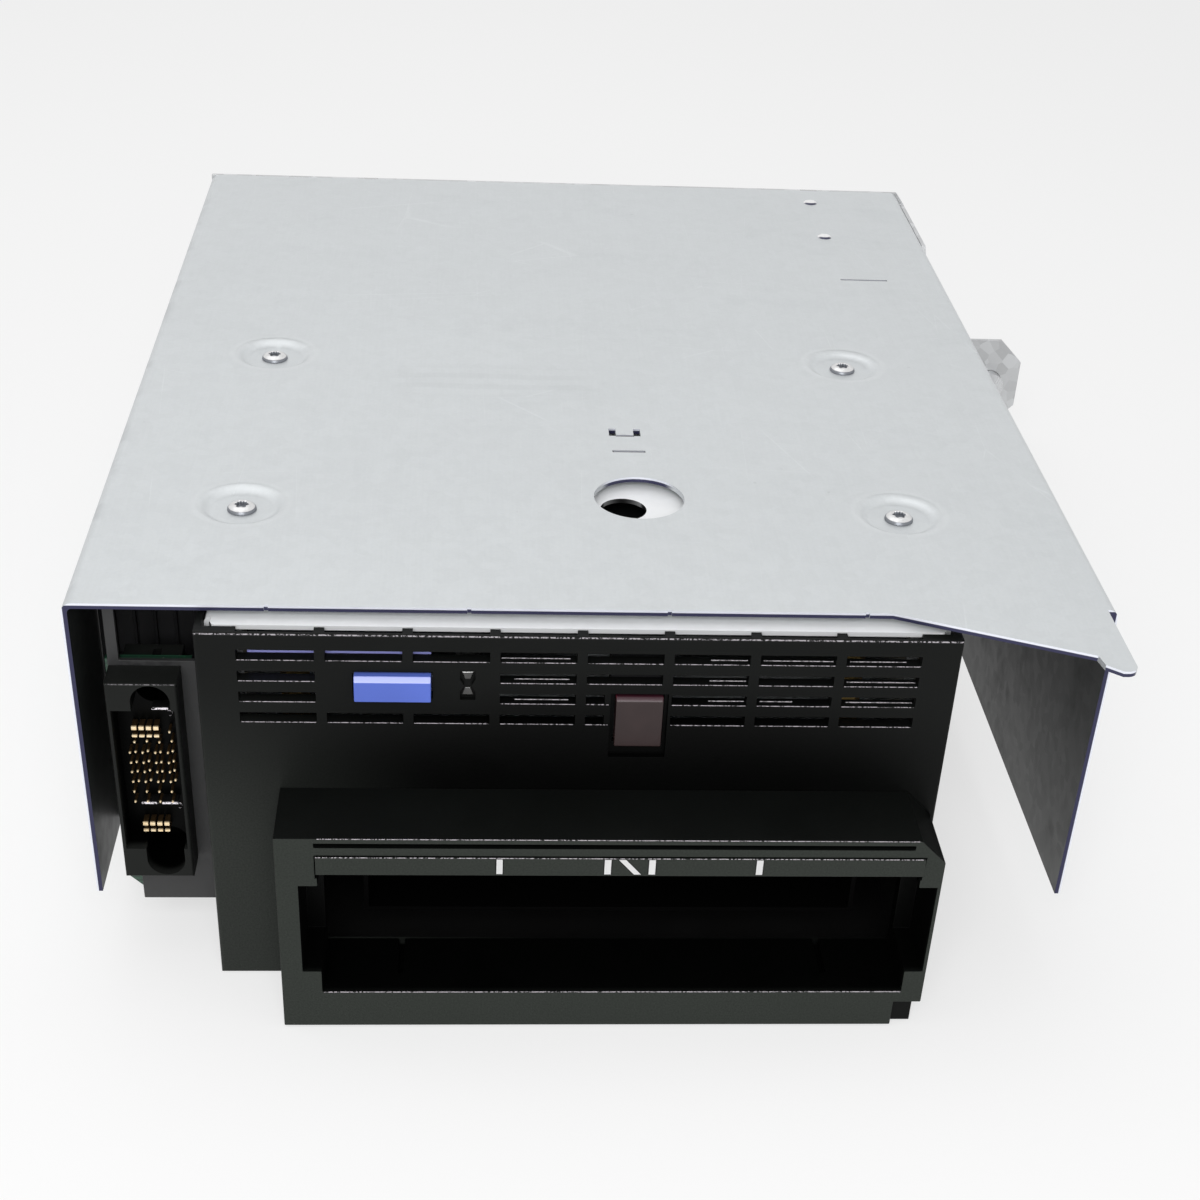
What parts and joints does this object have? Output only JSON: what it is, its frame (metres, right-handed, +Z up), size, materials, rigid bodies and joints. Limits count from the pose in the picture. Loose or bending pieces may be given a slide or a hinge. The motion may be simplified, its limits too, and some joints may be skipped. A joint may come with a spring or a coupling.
{
  "type": "tape library drive sled",
  "caption": "Full-height data tape drive in an open sheet-metal library sled, with a deep loading mouth, vented bezel, hot-plug connector, rear fan and pull handle.",
  "frame": {"origin": "on the drive's centreline, in the plane of the sled's front edge, at the flat lower edge of the bezel on which the assembly stands", "axes": "+X to the right seen from the front, +Y from the front to the back (the way the sled slides in), +Z up"},
  "size_m": [0.2549, 0.3078, 0.088],
  "materials": {
    "zinc_sheet": "pre-galvanised sheet, matte, faint smudges",
    "spangled_zinc": "hot-dip galvanised sheet with visible spangle",
    "bright_sheet": "bright smooth sheet",
    "screw_steel": "plated steel",
    "handle_plastic": "textured black",
    "fan_plastic": "satin black",
    "circuit_board": "green solder mask",
    "brass_post": "turned brass",
    "chip_black": "moulded black epoxy",
    "connector_black": "moulded black",
    "gilt_contact": "gold-plated contacts",
    "bezel_black": "fine-grained black moulding",
    "window_red": "dark red translucent window",
    "light_pipe": "clear moulded light pipe",
    "button_blue": "periwinkle blue moulding",
    "cast_alloy": "die-cast alloy",
    "motor_steel": "plated motor can",
    "slide_plastic": "dark low-friction plastic",
    "tray_black": "black moulding",
    "gear_white": "natural acetal"
  },
  "bodies": {
    "sled": {"sled_cover": "zinc_sheet", "cover_screws": "screw_steel", "rear_panel": "spangled_zinc", "panel_rivets": "screw_steel", "thumbscrew_ferrule": "screw_steel", "pull_handle": "handle_plastic", "fan_frame": "fan_plastic", "fan_screws": "screw_steel", "optical_cage": "bright_sheet", "interface_board": "circuit_board", "board_posts": "brass_post", "interface_parts": "chip_black", "hotplug_housing": "connector_black", "hotplug_contacts": "gilt_contact", "connector_bracket": "spangled_zinc", "connector_board": "circuit_board", "bezel": "bezel_black", "display_window": "window_red", "display_module": "chip_black", "status_lights": "light_pipe", "snout": "bezel_black", "fiducial_bar": "bezel_black", "drive_cover_upper": "bright_sheet", "drive_cover_lower": "bright_sheet", "drive_back": "bright_sheet", "rear_connectors": "connector_black", "deck_casting": "cast_alloy", "logic_board": "circuit_board", "deck_posts": "brass_post", "board_parts": "chip_black", "supply_motor": "motor_steel", "takeup_motor": "motor_steel", "gear_post": "screw_steel", "loader_motor": "motor_steel", "loader_rails": "slide_plastic", "roller_posts": "screw_steel", "head_frame": "cast_alloy", "head_rods": "screw_steel", "head_magnet": "motor_steel", "grabber_rail": "slide_plastic"},
    "button": {"unload_button": "button_blue"},
    "tray": {"loader_tray": "tray_black"},
    "gear": {"loader_gear": "gear_white"},
    "pinion": {"loader_pinion": "gear_white"},
    "clutch": {"supply_clutch": "cast_alloy"},
    "reel": {"takeup_reel": "gear_white"},
    "roller_1": {"guide_roller_1": "gear_white"},
    "roller_2": {"guide_roller_2": "gear_white"},
    "roller_3": {"guide_roller_3": "gear_white"},
    "roller_4": {"guide_roller_4": "gear_white"},
    "head": {"head_carriage": "cast_alloy", "read_write_head": "motor_steel", "head_coil": "brass_post"},
    "grabber": {"leader_grabber": "tray_black"},
    "fan": {"fan_rotor": "fan_plastic"},
    "lock": {"thumbscrew": "screw_steel"}
  },
  "joints": [
    {"name": "unload_press", "type": "slide", "parent": "sled", "child": "button", "axis": [0, 1, 0], "range_m": [0, 0.0015], "stiffness_N_per_m": 500, "springref_m": -0.0006},
    {"name": "tray_slide", "type": "slide", "parent": "sled", "child": "tray", "axis": [0, 1, 0], "range_m": [0, 0.014]},
    {"name": "gear_spin", "type": "hinge", "parent": "sled", "child": "gear", "pos_m": [-0.058, 0.06, 0.0415], "axis": [0, 0, 1], "range_deg": [0, 90]},
    {"name": "pinion_spin", "type": "hinge", "parent": "sled", "child": "pinion", "pos_m": [-0.058, 0.073, 0.0415], "axis": [0, 0, 1], "range_deg": [-202, 0]},
    {"name": "clutch_spin", "type": "hinge", "parent": "sled", "child": "clutch", "pos_m": [0.0086, 0.062, 0.041], "axis": [0, 0, 1], "continuous": true},
    {"name": "reel_spin", "type": "hinge", "parent": "sled", "child": "reel", "pos_m": [0.0086, 0.152, 0.026], "axis": [0, 0, 1], "continuous": true},
    {"name": "roller_1_spin", "type": "hinge", "parent": "sled", "child": "roller_1", "pos_m": [-0.047, 0.121, 0.02625], "axis": [0, 0, 1], "continuous": true},
    {"name": "roller_2_spin", "type": "hinge", "parent": "sled", "child": "roller_2", "pos_m": [-0.057, 0.135, 0.02625], "axis": [0, 0, 1], "continuous": true},
    {"name": "roller_3_spin", "type": "hinge", "parent": "sled", "child": "roller_3", "pos_m": [-0.057, 0.169, 0.02625], "axis": [0, 0, 1], "continuous": true},
    {"name": "roller_4_spin", "type": "hinge", "parent": "sled", "child": "roller_4", "pos_m": [-0.047, 0.183, 0.02625], "axis": [0, 0, 1], "continuous": true},
    {"name": "head_lift", "type": "slide", "parent": "sled", "child": "head", "axis": [0, 0, 1], "range_m": [-0.003, 0.003]},
    {"name": "grabber_slide", "type": "slide", "parent": "sled", "child": "grabber", "axis": [0, 1, 0], "range_m": [0, 0.056]},
    {"name": "fan_spin", "type": "hinge", "parent": "sled", "child": "fan", "pos_m": [0.072, 0.24, 0.047], "axis": [0, 1, 0], "continuous": true},
    {"name": "thumbscrew_turn", "type": "hinge", "parent": "sled", "child": "lock", "pos_m": [0.145, 0.26, 0.026], "axis": [0, 1, 0], "continuous": true}
  ],
  "couplings": [
    {"joint": "gear_spin", "follows": "tray_slide", "rad_per_m": 111.11},
    {"joint": "pinion_spin", "follows": "tray_slide", "rad_per_m": -250}
  ]
}
